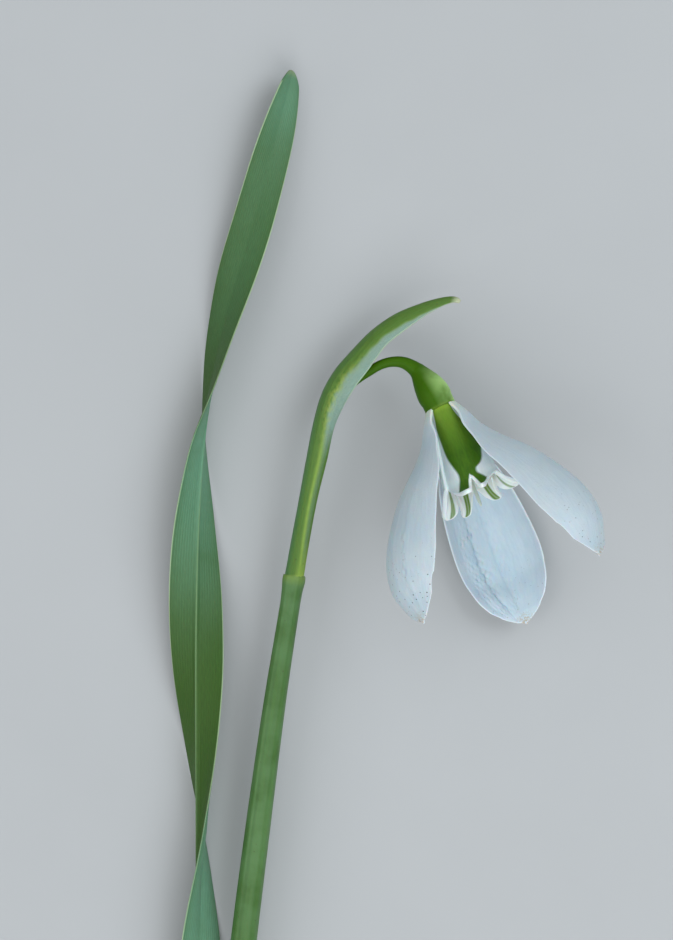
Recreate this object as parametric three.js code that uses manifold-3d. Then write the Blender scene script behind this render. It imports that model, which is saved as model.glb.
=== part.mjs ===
// A snowdrop (Galanthus elwesii): one picked flower with its leaf, lying on a table.
// Millimetres. X runs to the right, Y from the cut end towards the leaf tip, Z up from the table.

import * as THREE from 'three';
import * as BufferGeometryUtils from 'three/addons/utils/BufferGeometryUtils.js';
import Module from 'manifold-3d';

const wasm = await Module();
wasm.setup();

// ---- Driving dimensions ----------------------------------------------------------------

const BASE_Y = -61.7;              // plane of the cut end
const FIT = 0.1;                   // gap left between pieces that meet

// Scape: [y, x, z, radius] from the cut end to the collar under the spathe
const SCAPE = [
  [BASE_Y, -18.2, 2.9, 1.45],
  [-51.4, -17.05, 2.95, 1.45],
  [-31.9, -14.9, 3.6, 1.39],
  [-19.1, -13.3, 4.0, 1.32],
  [-6.2, -11.55, 4.5, 1.18],
  [4.0, -9.95, 4.95, 1.07],
  [5.6, -9.71, 5.02, 1.1],
  [6.6, -9.55, 5.05, 1.22],
  [7.2, -9.46, 5.06, 1.12],
];
const SCAPE_SIDES = 16;

// Leaf: the middle line [y, x, z], the half width, and how far the blade has turned
const LEAF_LINE = [
  [BASE_Y, -18.2, 1.05],
  [-55.0, -17.45, 1.05],
  [-51.5, -17.06, 1.08],
  [-49.0, -17.25, 0.62],
  [-47.0, -17.7, 0.42],
  [-45.0, -18.25, 0.45],
  [-43.0, -18.9, 0.62],
  [-41.0, -19.35, 0.95],
  [-37.5, -19.75, 1.6],
  [-32.1, -19.82, 2.35],
  [-23.5, -19.68, 2.8],
  [-10.6, -19.8, 2.9],
  [2.6, -20.06, 2.9],
  [13.1, -20.0, 2.9],
  [21.7, -19.42, 2.9],
  [28.1, -18.24, 2.9],
  [36.7, -16.25, 2.85],
  [45.3, -13.85, 2.85],
  [53.9, -11.65, 2.85],
  [61.7, -9.75, 2.9],
];
const LEAF_HALF_WIDTH = [
  [BASE_Y, 2.8], [-45.0, 2.85], [-25.0, 2.92], [5.0, 2.92], [25.0, 2.88], [36.0, 2.62],
  [47.0, 2.2], [55.0, 2.08], [59.0, 1.78], [61.7, 1.2],
];
const LEAF_TURN = [                // degrees; 180 turns the keeled back down to the table
  [BASE_Y, 180], [-47.0, 180], [-42.0, 170], [-36.0, 149.6], [-30.0, 125.9], [0, 7.1],
  [19.0, -68.1], [22.0, -81.0], [24.0, -90.5], [26.0, -98.5], [29.0, -109.0], [34.0, -127.8],
  [61.7, -237.1],
];
const LEAF_FOLD = [                // degrees that each half leans up from flat
  [BASE_Y, 0], [-50.0, 0], [-42.0, 6], [-30.0, 7], [50.0, 9], [61.7, 16],
];
const LEAF_CURL = [                // 1/mm, curl of the blade round the scape
  [BASE_Y, 0.54], [-51.5, 0.54], [-49.0, 0.41], [-47.0, 0.3], [-45.0, 0.19], [-43.0, 0.06],
  [-40.0, 0.0], [61.7, 0.0],
];
const LEAF_BOW = [                 // how far the middle of the right half bulges inwards
  [BASE_Y, 0], [-40.0, 0], [-32.0, 0.05], [-24.0, 0.25], [-20.0, 0.35], [-16.0, 0.22],
  [-11.0, 0.05], [0, 0], [61.7, 0],
];
const LEAF_TIP_Y = 61.6;
const LEAF_TIP_ROUND = 2.3;        // how far the corners of the tip are drawn back
const BLADE = 0.6;                 // thickness of leaf, petals and spathe

// Sheath at the base: an oval sleeve with a slanting mouth, flat where it lies
const SHEATH_TOP_Y = -52.6;
const SHEATH_SLANT = 1.6;
const SHEATH_INSIDE = [2.3, 1.95]; // half width and half height
const SHEATH_WALL = 0.8;
const SHEATH_DROP = 0.35;          // its middle lies this far below the scape's

// Flower stalk: the line that the pedicel and ovary share, collar to petals
const STALK = [
  [-9.42, 7.3, 5.06],
  [-8.75, 10.97, 5.2],
  [-7.98, 15.25, 5.4],
  [-7.07, 19.53, 5.6],
  [-6.2, 23.3, 5.8],
  [-5.1, 25.95, 5.9],
  [-3.2, 27.8, 6.0],
  [-1.45, 29.0, 6.05],
  [-0.1, 29.75, 6.1],
  [1.2, 30.03, 6.1],
  [2.35, 29.87, 6.15],
  [3.55, 29.13, 6.3],
  [4.5, 27.95, 6.6],
  [5.38, 26.6, 7.05],
  [6.2, 24.97, 7.4],
];
const PEDICEL_RADIUS = [           // [distance along the stalk, radius]
  [0.1, 0.42], [19.0, 0.43], [22.0, 0.48], [25.5, 0.51], [27.2, 0.58], [28.6, 0.72], [29.6, 0.88],
];
const OVARY_START = 29.3;
const OVARY_RADIUS = [             // [distance from the pedicel's end, radius]
  [0, 0.84], [0.5, 0.97], [1.1, 1.2], [1.9, 1.5], [2.8, 1.72], [3.5, 1.76], [4.2, 1.7],
];

// Spathe: the line of its keel, the line of its open side, and its section between them
const SPATHE_KEEL = [
  [-10.57, 7.35, 5.06],
  [-9.85, 11.2, 5.2],
  [-9.15, 15.3, 5.4],
  [-8.3, 19.55, 5.6],
  [-7.42, 23.75, 5.8],
  [-6.45, 26.8, 5.9],
  [-5.08, 29.2, 5.95],
  [-3.4, 31.15, 6.0],
  [-1.17, 33.4, 6.1],
  [1.29, 35.1, 6.2],
  [3.95, 36.21, 6.3],
  [6.02, 36.8, 6.4],
  [7.3, 36.98, 6.4],
  [8.35, 36.75, 6.4],
];
const SPATHE_MOUTH = [
  [-8.27, 7.25, 5.06],
  [-7.65, 10.75, 5.2],
  [-6.82, 15.2, 5.4],
  [-5.8, 19.5, 5.6],
  [-4.98, 22.9, 5.8],
  [-4.05, 25.2, 5.9],
  [-2.85, 27.1, 5.95],
  [-1.35, 28.9, 6.0],
  [0.54, 31.5, 6.1],
  [2.3, 33.15, 6.2],
  [4.6, 34.8, 6.3],
  [6.2, 35.7, 6.4],
  [7.1, 36.08, 6.4],
  [8.1, 36.02, 6.4],
];
const SPATHE_WRAP = [              // [share of its length, degrees wrapped each way from the keel]
  [0, 164], [0.4, 160], [0.5, 140], [0.6, 112], [0.8, 95], [1, 80],
];
const SPATHE_HALF_DEPTH = [        // half its size across the wrap
  [0, 1.15], [0.35, 1.2], [0.55, 1.65], [0.72, 1.6], [0.9, 1.0], [1, 0.62],
];

// Flower: middle of the ovary's end, and the direction in which the flower hangs
const FLOWER_CENTRE = new THREE.Vector3(6.2, 24.97, 7.4);
const FLOWER_SLANT = 22;           // degrees from straight down the table, to the right
const FLOWER_LIFT = 12;            // degrees up from the table
const CLAW_RING = 1.35;            // radius of the ring on which the six petals stand

// Outer petals: the ridge line as [along the flower's axis, out from it], and
// [share of the reach along the axis, half width]
const OUTER_RIDGE = [
  [0, 1.35], [1.4, 2.2], [3.2, 3.05], [5.2, 4.64], [8.0, 7.38], [10.5, 9.28], [13.0, 10.8],
  [15.5, 11.73], [18.0, 11.93], [20.2, 11.24], [22.1, 10.73],
];
const OUTER_HALF_WIDTH = [
  [0, 0.6], [0.06, 0.75], [0.12, 1.35], [0.2, 2.2], [0.3, 3.65], [0.4, 4.45], [0.5, 5.0],
  [0.6, 5.3], [0.68, 5.3], [0.77, 4.98], [0.85, 4.35], [0.92, 3.1], [1, 1.4],
];
const OUTER_TIP_ROUND = 0.075;     // share of the reach by which the end's corners draw back
const OUTER_CUPPING = 0.19;        // 1/mm, curvature across the petal
const OUTER_PLACES = [             // azimuth from the underside, how far it opens, its reach
  { name: 'back', azimuth: -0.5, opening: 0.875, reach: 23.2 },
  { name: 'left', azimuth: -121.5, opening: 1.13, reach: 21.5 },
  { name: 'right', azimuth: 121.5, opening: 1.013, reach: 21.75 },
];

// Inner petals: [distance along the axis, radius of the cup], and half the angle each covers
const INNER_LENGTH = 10.4;
const INNER_RADIUS = [
  [0, 1.35], [1.5, 1.48], [2.5, 1.66], [4.8, 2.17], [6.8, 2.64], [8.2, 2.9], [9.1, 3.05],
  [9.8, 3.45], [10.4, 4.2],
];
const INNER_HALF_WIDTH = [
  [0, 0.58], [1.0, 0.75], [1.8, 0.98], [2.6, 1.38], [3.4, 1.7], [5.0, 2.08], [8.2, 2.72],
  [10.4, 3.1],
];
const INNER_NOTCH = [0.17, 0.3];   // depth as a share of the length, and width as a share
const INNER_LOBE_ROUND = 0.14;
const INNER_PLACES = [             // azimuth from the underside, and how far it is stretched
  { name: 'front', azimuth: 180, stretch: 0.99 },
  { name: 'left', azimuth: -59, stretch: 1.08 },
  { name: 'right', azimuth: 60, stretch: 1.02 },
];

// Stamens and style
const STAMEN_RING = [0.38, 0.95, 0.5];  // inner radius, outer radius and height of the ring
const FILAMENT_RADIUS = 0.19;
const FILAMENT_LENGTH = 2.2;
const ANTHER_LENGTH = 5.4;
const ANTHER_RADIUS = [[0, 0.2], [0.12, 0.42], [0.35, 0.48], [0.7, 0.34], [0.92, 0.17], [1, 0.1]];
const STAMEN_CIRCLE = 0.68;
const STAMEN_LEAN = 3.5;           // degrees outwards
const STYLE_LENGTH = 11.4;
const STYLE_RADIUS = [[0, 0.22], [0.75, 0.22], [0.92, 0.27], [1, 0.14]];

// ---- Curves ----------------------------------------------------------------------------

const UP = new THREE.Vector3(0, 0, 1);
const radians = THREE.MathUtils.degToRad;

// A smooth value through [position, value] pairs: a cubic between neighbours, with each
// slope taken from the pairs on either side.
function through(pairs) {
  const last = pairs.length - 1;
  const slopes = pairs.map((_, i) => {
    const [before, after] = [pairs[Math.max(i - 1, 0)], pairs[Math.min(i + 1, last)]];
    return (after[1] - before[1]) / (after[0] - before[0]);
  });
  return (position) => {
    let i = 0;
    while (i < last - 1 && position > pairs[i + 1][0]) i += 1;
    const span = pairs[i + 1][0] - pairs[i][0];
    const t = THREE.MathUtils.clamp((position - pairs[i][0]) / span, 0, 1);
    const r = 1 - t;
    return pairs[i][1] * (1 + 2 * t) * r * r + pairs[i + 1][1] * (1 + 2 * r) * t * t
      + slopes[i] * span * t * r * r - slopes[i + 1] * span * t * t * r;
  };
}

// A smooth line through points, measured by the straight distances between them.
function lineThrough(points) {
  const at = [0];
  for (let i = 1; i < points.length; i += 1) {
    at.push(at[i - 1] + new THREE.Vector3(...points[i])
      .distanceTo(new THREE.Vector3(...points[i - 1])));
  }
  const axes = [0, 1, 2].map((k) => through(points.map((point, i) => [at[i], point[k]])));
  const line = (distance) => new THREE.Vector3(...axes.map((axis) => axis(distance)));
  return { at: line, length: at[at.length - 1] };
}

function tangent(line, position, step = 0.02) {
  return line(position + step).sub(line(position - step)).normalize();
}

function evenly(from, to, count) {
  return Array.from({ length: count + 1 }, (_, i) => from + ((to - from) * i) / count);
}

// ---- Solids ----------------------------------------------------------------------------

function closedGeometry(corners, triangles) {
  const geometry = new THREE.BufferGeometry();
  geometry.setAttribute('position', new THREE.Float32BufferAttribute(corners.flat(), 3));
  geometry.setIndex(triangles);
  geometry.computeVertexNormals();
  return geometry;
}

// A round bar along a line: one ring of corners at each station, closed by a fan at each end.
// The rings stand across the line; size(position) is the radius there.
function bar(line, size, stations, sides) {
  const corners = [];
  const triangles = [];
  for (const station of stations) {
    const along = tangent(line, station);
    const across = new THREE.Vector3().crossVectors(along, UP).normalize();
    const over = new THREE.Vector3().crossVectors(across, along);
    for (let k = 0; k < sides; k += 1) {
      const angle = (2 * Math.PI * k) / sides;
      corners.push(line(station)
        .addScaledVector(across, size(station) * Math.cos(angle))
        .addScaledVector(over, size(station) * Math.sin(angle)).toArray());
    }
  }
  const rings = stations.length;
  for (let i = 0; i + 1 < rings; i += 1) {
    for (let k = 0; k < sides; k += 1) {
      const [a, b] = [i * sides + k, i * sides + ((k + 1) % sides)];
      triangles.push(a, b + sides, b, a, a + sides, b + sides);
    }
  }
  const first = corners.push(line(stations[0]).toArray()) - 1;
  const end = corners.push(line(stations[rings - 1]).toArray()) - 1;
  for (let k = 0; k < sides; k += 1) {
    const next = (k + 1) % sides;
    triangles.push(first, k, next);
    triangles.push(end, (rings - 1) * sides + next, (rings - 1) * sides + k);
  }
  return closedGeometry(corners, triangles);
}

// A thin blade: surface(u, v) is its middle, u from -1 to 1 across and v from 0 to 1 along.
// Both faces stand half the thickness off it and are split into triangles alike.
function blade(surface, columns, rows, thickness = BLADE) {
  const step = 1e-3;
  const corners = [];
  for (const side of [0.5, -0.5]) {
    for (const v of evenly(0, 1, rows)) {
      for (const u of evenly(-1, 1, columns)) {
        const alongBlade = surface(u, v + step).sub(surface(u, v - step));
        const acrossBlade = surface(u + step, v).sub(surface(u - step, v));
        const normal = new THREE.Vector3().crossVectors(acrossBlade, alongBlade).normalize();
        corners.push(surface(u, v).addScaledVector(normal, side * thickness).toArray());
      }
    }
  }
  const wide = columns + 1;
  const far = wide * (rows + 1);
  const triangles = [];
  for (let i = 0; i < rows; i += 1) {
    for (let k = 0; k < columns; k += 1) {
      const [a, b, c, d] = [i * wide + k, i * wide + k + 1, (i + 1) * wide + k + 1, (i + 1) * wide + k];
      triangles.push(a, b, c, a, c, d);
      triangles.push(a + far, c + far, b + far, a + far, d + far, c + far);
    }
  }
  const rim = [];
  for (let k = 0; k < columns; k += 1) rim.push(k);
  for (let i = 0; i < rows; i += 1) rim.push(i * wide + columns);
  for (let k = columns; k > 0; k -= 1) rim.push(rows * wide + k);
  for (let i = rows; i > 0; i -= 1) rim.push(i * wide);
  rim.forEach((a, i) => {
    const b = rim[(i + 1) % rim.length];
    triangles.push(a, a + far, b + far, a, b + far, b);
  });
  return closedGeometry(corners, triangles);
}

// Nothing reaches below the table: what would is pressed flat on it.
function pressFlat(geometry) {
  const position = geometry.attributes.position;
  for (let i = 0; i < position.count; i += 1) position.setZ(i, Math.max(0, position.getZ(i)));
  return geometry;
}

function toManifold(geometry) {
  const bare = geometry.clone();
  bare.deleteAttribute('normal');
  bare.deleteAttribute('uv');
  const merged = BufferGeometryUtils.mergeVertices(bare, 1e-4);
  return new wasm.Manifold(new wasm.Mesh({
    numProp: 3,
    vertProperties: merged.attributes.position.array,
    triVerts: new Uint32Array(merged.index.array),
  }));
}

function fromManifold(solid) {
  const { vertProperties, triVerts } = solid.getMesh();
  const geometry = new THREE.BufferGeometry();
  geometry.setAttribute('position', new THREE.BufferAttribute(vertProperties, 3));
  geometry.setIndex(new THREE.BufferAttribute(triVerts, 1));
  return geometry;
}

// ---- Scape, pedicel and ovary ----------------------------------------------------------

function columnOf(rows, k) {
  return through(rows.map((row) => [row[0], row[k]]));
}

const scapeX = columnOf(SCAPE, 1);
const scapeZ = columnOf(SCAPE, 2);
const scapeLine = (y) => new THREE.Vector3(scapeX(y), y, scapeZ(y));

function makeScape() {
  const top = SCAPE[SCAPE.length - 1][0];
  const stations = [...evenly(BASE_Y, 4, 20), 5, 5.8, 6.4, 6.9, top];
  return bar(scapeLine, columnOf(SCAPE, 3), stations, SCAPE_SIDES);
}

const stalk = lineThrough(STALK);

function makePedicel() {
  const stations = [...evenly(FIT, 17, 10), ...evenly(18, 28, 14), 28.7, OVARY_START - FIT / 2];
  return bar(stalk.at, through(PEDICEL_RADIUS), stations, 12);
}

function makeOvary() {
  const end = stalk.length - FIT / 2;
  const radius = through(OVARY_RADIUS);
  return bar(stalk.at, (s) => radius(s - OVARY_START), evenly(OVARY_START + FIT / 2, end, 12), 20);
}

// ---- Leaf ------------------------------------------------------------------------------

const leafX = columnOf(LEAF_LINE, 1);
const leafZ = columnOf(LEAF_LINE, 2);
const leafLine = (y) => new THREE.Vector3(leafX(y), y, leafZ(y));
const leafHalfWidth = through(LEAF_HALF_WIDTH);
const leafTurn = through(LEAF_TURN);
const leafFold = through(LEAF_FOLD);
const leafCurl = through(LEAF_CURL);
const leafBow = through(LEAF_BOW);

// Across the leaf a point goes out along the turned width, curls round with the clasping base,
// leans up with the fold and bulges with the bow. Along it, the corners of the tip are drawn
// back.
function leafSurface(u, v) {
  const reach = LEAF_TIP_Y - LEAF_TIP_ROUND * Math.abs(u) ** 2.4;
  const y = BASE_Y + (reach - BASE_Y) * v;
  const along = tangent(leafLine, y);
  const across = new THREE.Vector3().crossVectors(along, UP).normalize();
  const over = new THREE.Vector3().crossVectors(across, along);
  const turn = radians(leafTurn(y));
  const wide = across.clone().multiplyScalar(Math.cos(turn)).addScaledVector(over, Math.sin(turn));
  const inner = across.clone().multiplyScalar(Math.sin(turn)).addScaledVector(over, -Math.cos(turn));
  const out = u * leafHalfWidth(y);
  const curl = Math.max(leafCurl(y), 1e-4);
  const fold = radians(leafFold(y));
  const lean = (1 - Math.cos(out * curl)) / curl + Math.abs(out) * Math.sin(fold);
  const bulge = leafBow(y) * Math.sin(Math.PI * Math.max(u, 0));
  return leafLine(y)
    .addScaledVector(wide, (Math.sin(out * curl) / curl) * Math.cos(fold))
    .addScaledVector(inner, lean + bulge);
}

function makeLeaf() {
  return pressFlat(blade(leafSurface, 6, 66));
}

// ---- Basal sheath ----------------------------------------------------------------------

// An oval sleeve: the wall is a closed loop of four corners, carried round the oval.
function makeSheath() {
  const sides = 28;
  const corners = [];
  const triangles = [];
  const levels = 4;
  const ringAt = (level, grow) => {
    for (let k = 0; k < sides; k += 1) {
      const angle = (2 * Math.PI * k) / sides;
      const top = SHEATH_TOP_Y + SHEATH_SLANT * Math.sin(angle);
      const y = BASE_Y + ((top - BASE_Y) * level) / levels;
      const middle = scapeLine(y);
      corners.push([
        middle.x + (SHEATH_INSIDE[0] + grow) * Math.cos(angle),
        y,
        Math.max(0, middle.z - SHEATH_DROP + (SHEATH_INSIDE[1] + grow) * Math.sin(angle)),
      ]);
    }
  };
  for (let level = 0; level <= levels; level += 1) ringAt(level, SHEATH_WALL);
  for (let level = levels; level >= 0; level -= 1) ringAt(level, 0);
  const rings = 2 * (levels + 1);
  for (let i = 0; i < rings; i += 1) {
    for (let k = 0; k < sides; k += 1) {
      const next = (k + 1) % sides;
      const [a, b] = [i * sides + k, i * sides + next];
      const [c, d] = [((i + 1) % rings) * sides + next, ((i + 1) % rings) * sides + k];
      triangles.push(a, c, b, a, d, c);
    }
  }
  return closedGeometry(corners, triangles);
}

// ---- Spathe ----------------------------------------------------------------------------

const spatheKeel = lineThrough(SPATHE_KEEL);
const spatheMouth = lineThrough(SPATHE_MOUTH);
const spatheWrap = through(SPATHE_WRAP);
const spatheHalfDepth = through(SPATHE_HALF_DEPTH);

// The section at each height is an oval arc that starts at the keel and wraps both ways
// towards the open side.
function spatheSurface(u, v) {
  const keel = spatheKeel.at(v * spatheKeel.length);
  const mouth = spatheMouth.at(v * spatheMouth.length);
  const toMouth = mouth.clone().sub(keel);
  const depth = toMouth.length();
  toMouth.normalize();
  const wrap = radians(spatheWrap(v));
  const angle = wrap * u;
  const inset = BLADE / 2;
  const share = (1 - Math.cos(angle)) / (1 - Math.cos(wrap));
  return keel
    .addScaledVector(toMouth, inset + (depth - 2 * inset) * share)
    .addScaledVector(UP, (spatheHalfDepth(v) - inset) * Math.sin(angle));
}

function makeSpathe() {
  return blade(spatheSurface, 14, 34);
}

// ---- Flower ----------------------------------------------------------------------------

// The flower's own directions: axis points from the ovary to the open end, back is the side
// that hangs nearest the table, and side completes them.
const slant = radians(FLOWER_SLANT);
const lift = radians(FLOWER_LIFT);
const axis = new THREE.Vector3(
  Math.cos(lift) * Math.sin(slant),
  -Math.cos(lift) * Math.cos(slant),
  Math.sin(lift),
);
const back = UP.clone().negate().addScaledVector(axis, axis.z).normalize();
const side = new THREE.Vector3().crossVectors(axis, back);

// A point of the flower: how far along the axis, how far out, and which way round.
function flowerPoint(along, out, round) {
  return FLOWER_CENTRE.clone()
    .addScaledVector(axis, along)
    .addScaledVector(back, out * Math.cos(round))
    .addScaledVector(side, out * Math.sin(round));
}

// Outer petal: its ridge line runs out and back like a spoon's, and its section is an arc that
// cups towards the flower's axis, square to the ridge.
function outerTepal({ azimuth, opening, reach }) {
  const halfWidth = through(OUTER_HALF_WIDTH);
  const ridge = through(OUTER_RIDGE);
  const outAt = (along) => CLAW_RING + (ridge(along) - CLAW_RING) * opening;
  const step = 0.05;
  const foot = FIT + BLADE / 4;
  const round = radians(azimuth);
  const outward = flowerPoint(0, 1, round).sub(FLOWER_CENTRE);
  const sideways = flowerPoint(0, 1, round + Math.PI / 2).sub(FLOWER_CENTRE);
  return blade((u, v) => {
    const share = v * (1 - OUTER_TIP_ROUND * Math.abs(u) ** 2.8);
    const along = share * reach;
    const splay = Math.atan2(outAt(along + step) - outAt(along - step), 2 * step);
    const cup = u * halfWidth(share) * OUTER_CUPPING;
    const rise = (1 - Math.cos(cup)) / OUTER_CUPPING;
    return flowerPoint(foot + along + rise * Math.sin(splay), 0, 0)
      .addScaledVector(outward, outAt(along) - rise * Math.cos(splay))
      .addScaledVector(sideways, Math.sin(cup) / OUTER_CUPPING);
  }, 8, 20);
}

// Inner petal: a piece of the cup, with a notch in the middle of its end.
function innerTepal({ azimuth, stretch }) {
  const radius = through(INNER_RADIUS);
  const halfWidth = through(INNER_HALF_WIDTH);
  return blade((u, v) => {
    const notch = INNER_NOTCH[0] * Math.exp(-((u / INNER_NOTCH[1]) ** 2));
    const reach = 1 - notch - INNER_LOBE_ROUND * Math.abs(u) ** 4;
    const s = v * reach * INNER_LENGTH;
    const out = radius(s);
    return flowerPoint(FIT + s * stretch, out, radians(azimuth) + (u * halfWidth(s)) / out);
  }, 10, 12);
}

function makeStamens() {
  const [hole, rim, height] = STAMEN_RING;
  const ring = new THREE.LatheGeometry([
    new THREE.Vector2(hole, 0),
    new THREE.Vector2(rim, 0),
    new THREE.Vector2(rim, height),
    new THREE.Vector2(hole, height),
    new THREE.Vector2(hole, 0),
  ], 24);
  const place = new THREE.Matrix4().makeBasis(side, axis, back)
    .setPosition(flowerPoint(FIT, 0, 0));
  let solid = toManifold(ring.applyMatrix4(place));
  const anther = through(ANTHER_RADIUS);
  const lean = Math.tan(radians(STAMEN_LEAN));
  const start = height / 2;
  const antherAt = height + FILAMENT_LENGTH;
  const end = antherAt + ANTHER_LENGTH;
  for (let k = 0; k < 6; k += 1) {
    const round = radians(60 * k + 30);
    const line = (s) => flowerPoint(FIT + s, STAMEN_CIRCLE + lean * Math.max(0, s - 2), round);
    const size = (s) => (s < antherAt ? FILAMENT_RADIUS : anther((s - antherAt) / ANTHER_LENGTH));
    const stations = [start, antherAt - 0.1, ...evenly(antherAt, end, 7)];
    solid = solid.add(toManifold(bar(line, size, stations, 7)));
  }
  return fromManifold(solid);
}

function makeStyle() {
  const size = through(STYLE_RADIUS);
  const line = (s) => flowerPoint(FIT + s, 0, 0);
  return bar(line, (s) => size(s / STYLE_LENGTH), evenly(0, STYLE_LENGTH, 10), 8);
}

// ---- The plant -------------------------------------------------------------------------

const finishes = {
  leaf: new THREE.MeshStandardMaterial({ color: 0x6a9a72, roughness: 0.6, metalness: 0 }),
  sheath: new THREE.MeshStandardMaterial({ color: 0xd9dcc0, roughness: 0.7, metalness: 0 }),
  stem: new THREE.MeshStandardMaterial({ color: 0x5a8440, roughness: 0.5, metalness: 0 }),
  spathe: new THREE.MeshStandardMaterial({ color: 0x7ba060, roughness: 0.55, metalness: 0 }),
  ovary: new THREE.MeshStandardMaterial({ color: 0x4f7a16, roughness: 0.45, metalness: 0 }),
  petal: new THREE.MeshStandardMaterial({ color: 0xf0f4f6, roughness: 0.55, metalness: 0 }),
  inner: new THREE.MeshStandardMaterial({ color: 0xdfe9da, roughness: 0.55, metalness: 0 }),
  stamen: new THREE.MeshStandardMaterial({ color: 0xe39a2c, roughness: 0.6, metalness: 0 }),
};

const plant = new THREE.Group();

function addPiece(name, geometry, finish) {
  const piece = new THREE.Mesh(geometry, finish);
  piece.name = name;
  plant.add(piece);
}

addPiece('leaf', makeLeaf(), finishes.leaf);
addPiece('basal_sheath', makeSheath(), finishes.sheath);
addPiece('scape', makeScape(), finishes.stem);
addPiece('spathe', makeSpathe(), finishes.spathe);
addPiece('pedicel', makePedicel(), finishes.stem);
addPiece('ovary', makeOvary(), finishes.ovary);
for (const place of OUTER_PLACES) {
  addPiece(`outer_tepal_${place.name}`, pressFlat(outerTepal(place)), finishes.petal);
}
for (const place of INNER_PLACES) {
  addPiece(`inner_tepal_${place.name}`, innerTepal(place), finishes.inner);
}
addPiece('stamens', makeStamens(), finishes.stamen);
addPiece('style', makeStyle(), finishes.petal);

export default plant;
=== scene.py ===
"""A snowdrop: one picked flower with its leaf, lying on a table.

Shapes are worked out in millimetres in the CAD model's own frame (x right, y from the cut end
towards the leaf tip, z up from the table) and put into the meshes in metres.
"""

import math

import bpy
import numpy as np
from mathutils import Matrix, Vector


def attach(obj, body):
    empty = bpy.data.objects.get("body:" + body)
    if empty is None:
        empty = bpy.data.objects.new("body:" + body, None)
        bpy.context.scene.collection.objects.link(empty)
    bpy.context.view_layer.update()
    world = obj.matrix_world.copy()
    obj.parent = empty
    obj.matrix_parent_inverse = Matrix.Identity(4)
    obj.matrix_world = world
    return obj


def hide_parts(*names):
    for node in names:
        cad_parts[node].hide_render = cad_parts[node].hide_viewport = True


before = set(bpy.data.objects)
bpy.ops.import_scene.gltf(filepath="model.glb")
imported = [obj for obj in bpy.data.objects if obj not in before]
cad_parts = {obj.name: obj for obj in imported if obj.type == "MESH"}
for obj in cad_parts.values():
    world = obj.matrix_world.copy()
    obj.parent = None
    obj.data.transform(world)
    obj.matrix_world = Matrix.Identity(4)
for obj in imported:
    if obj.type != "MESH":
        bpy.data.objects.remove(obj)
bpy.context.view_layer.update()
MM = 0.001
UP = np.array([0.0, 0.0, 1.0])

# ---- Driving dimensions, in mm ----------------------------------------------------------

BASE_Y = -61.7                     # plane of the cut end
CUT_Y = BASE_Y + 0.1               # where the leaf and the scape are cut, just inside the sheath

# Scape: [y, x, z, radius] from the cut end to the collar under the spathe
SCAPE = [
    [BASE_Y, -18.2, 2.9, 1.45], [-51.4, -17.05, 2.95, 1.45], [-31.9, -14.9, 3.6, 1.39],
    [-19.1, -13.3, 4.0, 1.32], [-6.2, -11.55, 4.5, 1.18], [4.0, -9.95, 4.95, 1.07],
    [5.6, -9.71, 5.02, 1.12], [6.6, -9.55, 5.05, 1.22], [7.2, -9.46, 5.06, 1.18],
]
SCAPE_RIM = 0.12                   # how far its ends are rounded

# Leaf: the middle line [y, x, z], then [y, value] for its half width, turn, fold and curl
LEAF_LINE = [
    [BASE_Y, -18.2, 1.05], [-55.0, -17.45, 1.05], [-51.5, -17.06, 1.08], [-49.0, -17.25, 0.62],
    [-47.0, -17.7, 0.42], [-45.0, -18.25, 0.45], [-43.0, -18.9, 0.62], [-41.0, -19.35, 0.95],
    [-37.5, -19.75, 1.6], [-32.1, -19.82, 2.35], [-23.5, -19.68, 2.8], [-10.6, -19.8, 2.9],
    [2.6, -20.06, 2.9], [13.1, -20.0, 2.9], [21.7, -19.42, 2.9], [28.1, -18.24, 2.9],
    [36.7, -16.25, 2.85], [45.3, -13.85, 2.85], [53.9, -11.65, 2.85], [61.7, -9.75, 2.9],
]
LEAF_HALF_WIDTH = [
    [BASE_Y, 2.8], [-45.0, 2.85], [-25.0, 2.92], [5.0, 2.92], [25.0, 2.88], [36.0, 2.62],
    [47.0, 2.2], [55.0, 2.08], [59.0, 1.78], [61.7, 1.2],
]
LEAF_TURN = [                      # degrees; 180 turns the keeled back down to the table
    [BASE_Y, 180], [-47.0, 180], [-42.0, 170], [-36.0, 149.6], [-30.0, 125.9], [0, 7.1],
    [19.0, -68.1], [22.0, -81.0], [24.0, -90.5], [26.0, -98.5], [29.0, -109.0], [34.0, -127.8],
    [61.7, -237.1],
]
LEAF_FOLD = [                      # degrees that each half leans up from flat
    [BASE_Y, 0], [-50.0, 0], [-42.0, 6], [-30.0, 7], [50.0, 9], [61.7, 16],
]
LEAF_CURL = [                      # 1/mm, curl of the blade round the scape
    [BASE_Y, 0.54], [-51.5, 0.54], [-49.0, 0.41], [-47.0, 0.3], [-45.0, 0.19], [-43.0, 0.06],
    [-40.0, 0.0], [61.7, 0.0],
]
LEAF_BOW = [                       # mm that the middle of the right half bulges inwards
    [BASE_Y, 0], [-40.0, 0], [-32.0, 0.08], [-24.0, 0.3], [-20.0, 0.42], [-16.0, 0.28],
    [-11.0, 0.1], [0, 0.07], [61.7, 0.07],
]
BLOOM_OUTSIDE = [                  # how much waxy bloom lies on the keeled back
    [BASE_Y, 0.6], [-30.0, 0.2], [-21.0, 0.0], [-5.0, 0.0], [2.0, 0.12], [8.0, 0.45],
    [14.0, 0.75], [20.0, 1.0], [26.0, 0.9], [61.7, 0.6],
]
BLOOM_INSIDE = [                   # and on the inner face
    [BASE_Y, 0.85], [-33.0, 1.0], [-15.0, 0.95], [0, 0.5], [16.0, 0.2], [22.0, 0.02],
    [28.0, 0.04], [36.0, 0.2], [48.0, 0.28], [54.0, 0.45], [58.0, 0.75], [61.7, 0.7],
]
LEAF_TIP_Y = 61.48
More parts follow.
